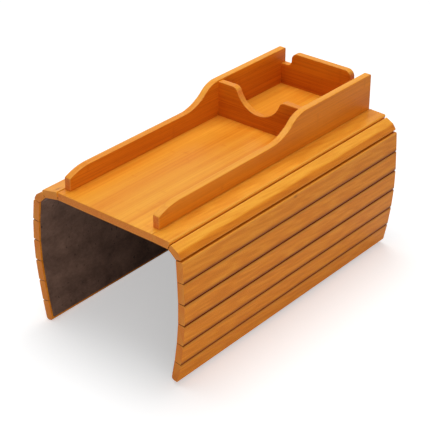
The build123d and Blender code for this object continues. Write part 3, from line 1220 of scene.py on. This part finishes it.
def make_lining(side_name, number):
    """The felt across one fold, bent about it at rest."""
    side = SIDES[side_name]
    slats = wings[side_name]
    slat = slats[number - 1]
    first = number == 1
    last = number == len(slats)
    tilt_before = 0.0 if first else slats[number - 2]["tilt"]
    bend = slat["tilt"] - tilt_before
    start = -BOARD_GRIP if first else -(slats[number - 2]["width"] + fold_gap) / 2
    end = slat["width"] + fold_gap / 2 - HEM_INSET if last else (slat["width"] + fold_gap) / 2
    run_to_fold = board_high.x + sum(s["width"] + fold_gap for s in slats[:number - 1])

    def bent(row, y, height):
        turn = tilt_before + bend * float(eased(-FOLD_REACH, FOLD_REACH, row))
        across = row * math.cos(turn) + height * math.sin(turn)
        up = height * math.cos(turn) - row * math.sin(turn)
        return (slat["place"].x + side * across, y, slat["place"].z + up)

    def run(row):
        return side * (run_to_fold + row)

    piece = felt_slab(f"{side_name}_lining_{number}", lining_rows(start, end), bent, run)
    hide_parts(f"{side_name}_felt_{number}")
    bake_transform(piece)
    return piece


def make_board_lining():
    """The felt under the board, between the pieces that cross the two first folds."""
    half = board_high.x + fold_gap / 2 - BOARD_GRIP
    rows = np.linspace(-half, half, round(2 * half / FELT_STEP) + 1)
    piece = felt_slab("board_lining", rows, lambda *point: point, lambda row: row)
    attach(piece, "tray_top")
    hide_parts("board_felt")
    return piece


linings = [make_board_lining()]
for side_name, slats in wings.items():
    linings += [make_lining(side_name, number) for number in range(1, len(slats) + 1)]
print("lining pieces:", len(linings), "faces:", sum(len(piece.data.polygons) for piece in linings))

# %% [markdown]
# The tray stands on a plain floor, which isn't part of it. A white that is only paint would look
# grey in this light, and more light would wash out the wood. So the paint gets a glow that only
# the camera sees, and the floor looks nearly white and keeps the tray's soft shadow.

# %% Floor
FLOOR_REACH = 6.0
FLOOR_CLEARANCE = 0.2 * MM
FLOOR_WHITE = (0.82, 0.82, 0.82, 1)
FLOOR_GLOW = 0.45
PURE_WHITE = (1, 1, 1, 1)


def floor_material():
    """A matt white with a glow that only the camera sees."""
    material, tree, shader = new_material("white_floor")
    tree.nodes.remove(shader)
    seen = add_node(tree, "ShaderNodeLightPath").outputs["Is Camera Ray"]
    matt = result(tree, "ShaderNodeBsdfDiffuse", {"Color": FLOOR_WHITE})
    glow_inputs = {"Color": PURE_WHITE, "Strength": product(tree, seen, FLOOR_GLOW)}
    glow = result(tree, "ShaderNodeEmission", glow_inputs)
    both = result(tree, "ShaderNodeAddShader", {0: matt, 1: glow})
    output = next(node for node in tree.nodes if node.type == "OUTPUT_MATERIAL")
    feed(tree, output, {"Surface": both})
    return material


def make_floor():
    """A square floor just under the hems."""
    mesh = bpy.data.meshes.new("floor")
    level = cad_low.z - FLOOR_CLEARANCE
    square = [(-1, -1), (1, -1), (1, 1), (-1, 1)]
    corners = [(x * FLOOR_REACH, y * FLOOR_REACH, level) for x, y in square]
    mesh.from_pydata(corners, [], [(0, 1, 2, 3)])
    mesh.materials.append(floor_material())
    floor = bpy.data.objects.new("floor", mesh)
    bpy.context.scene.collection.objects.link(floor)
    return floor


print("floor at", round(make_floor().data.vertices[0].co.z / MM, 1), "mm")

# %% [markdown]
# The light is that of a light tent. A big area lamp overhead gives the broad soft light, a weaker
# one low beside the right wing lights the slats that hang there, and a white world fills in the
# rest. The world lights the tray at a plain level, and only what the camera or a reflection sees
# of it is full white, so the background comes without more light on the wood.

# %% Light and world
WORLD_FILL = 0.22
# For each lamp: its place, the point that it faces, its size in metres and its power in watts.
LAMPS = {
    "overhead_softbox": ((-0.25, 0.15, 1.5), (0.0, 0.0, 0.0), 1.3, 19.8),
    "side_card": ((1.6, -1.0, 0.1), (0.0, 0.0, -0.05), 1.2, 14.3),
}


def make_world():
    """White where the camera or a reflection looks, and an even fill light on all else."""
    world = bpy.data.worlds.new("light_tent")
    bpy.context.scene.world = world
    world.use_nodes = True
    tree = world.node_tree
    rays = add_node(tree, "ShaderNodeLightPath").outputs
    direct = calculate(tree, "MAXIMUM", rays["Is Camera Ray"], rays["Is Glossy Ray"])
    direct = calculate(tree, "MAXIMUM", direct, rays["Is Transmission Ray"])
    strength = total(tree, WORLD_FILL, product(tree, direct, 1.0 - WORLD_FILL))
    background = next(node for node in tree.nodes if node.type == "BACKGROUND")
    feed(tree, background, {"Color": PURE_WHITE, "Strength": strength})


def make_lamp(name, place, target, size, watts):
    """A square area lamp that faces a target."""
    lamp = bpy.data.lights.new(name, "AREA")
    lamp.shape = "SQUARE"
    lamp.size = size
    lamp.energy = watts
    made = bpy.data.objects.new(name, lamp)
    made.location = place
    made.rotation_euler = (Vector(target) - Vector(place)).to_track_quat("-Z", "Y").to_euler()
    bpy.context.scene.collection.objects.link(made)


make_world()
for name, settings in LAMPS.items():
    make_lamp(name, *settings)
print("lamps:", list(LAMPS))

# %% [markdown]
# The camera was worked out from the photograph: the straight edges of rails and slats meet in two
# vanishing points, and they give the direction and the lens. The aim point is the one that falls
# in the middle of the square picture.

# %% Camera
AZIMUTH = math.radians(39.93)
ELEVATION = math.radians(29.62)
LENS = 115.53
SENSOR = 36.0
AIM = Vector((83.0, -111.8, 8.2)) * MM
DISTANCE = 1.3316

backwards = Vector((
    math.sin(AZIMUTH) * math.cos(ELEVATION),
    -math.cos(AZIMUTH) * math.cos(ELEVATION),
    math.sin(ELEVATION),
))
camera = bpy.data.objects.new("camera", bpy.data.cameras.new("camera"))
camera.data.sensor_width = SENSOR
camera.data.lens = LENS
camera.location = AIM + DISTANCE * backwards
camera.rotation_euler = (math.pi / 2 - ELEVATION, 0, AZIMUTH)
bpy.context.scene.collection.objects.link(camera)
bpy.context.scene.camera = camera
bpy.context.scene.view_settings.view_transform = "Standard"
print("camera at", [round(x, 4) for x in camera.location])
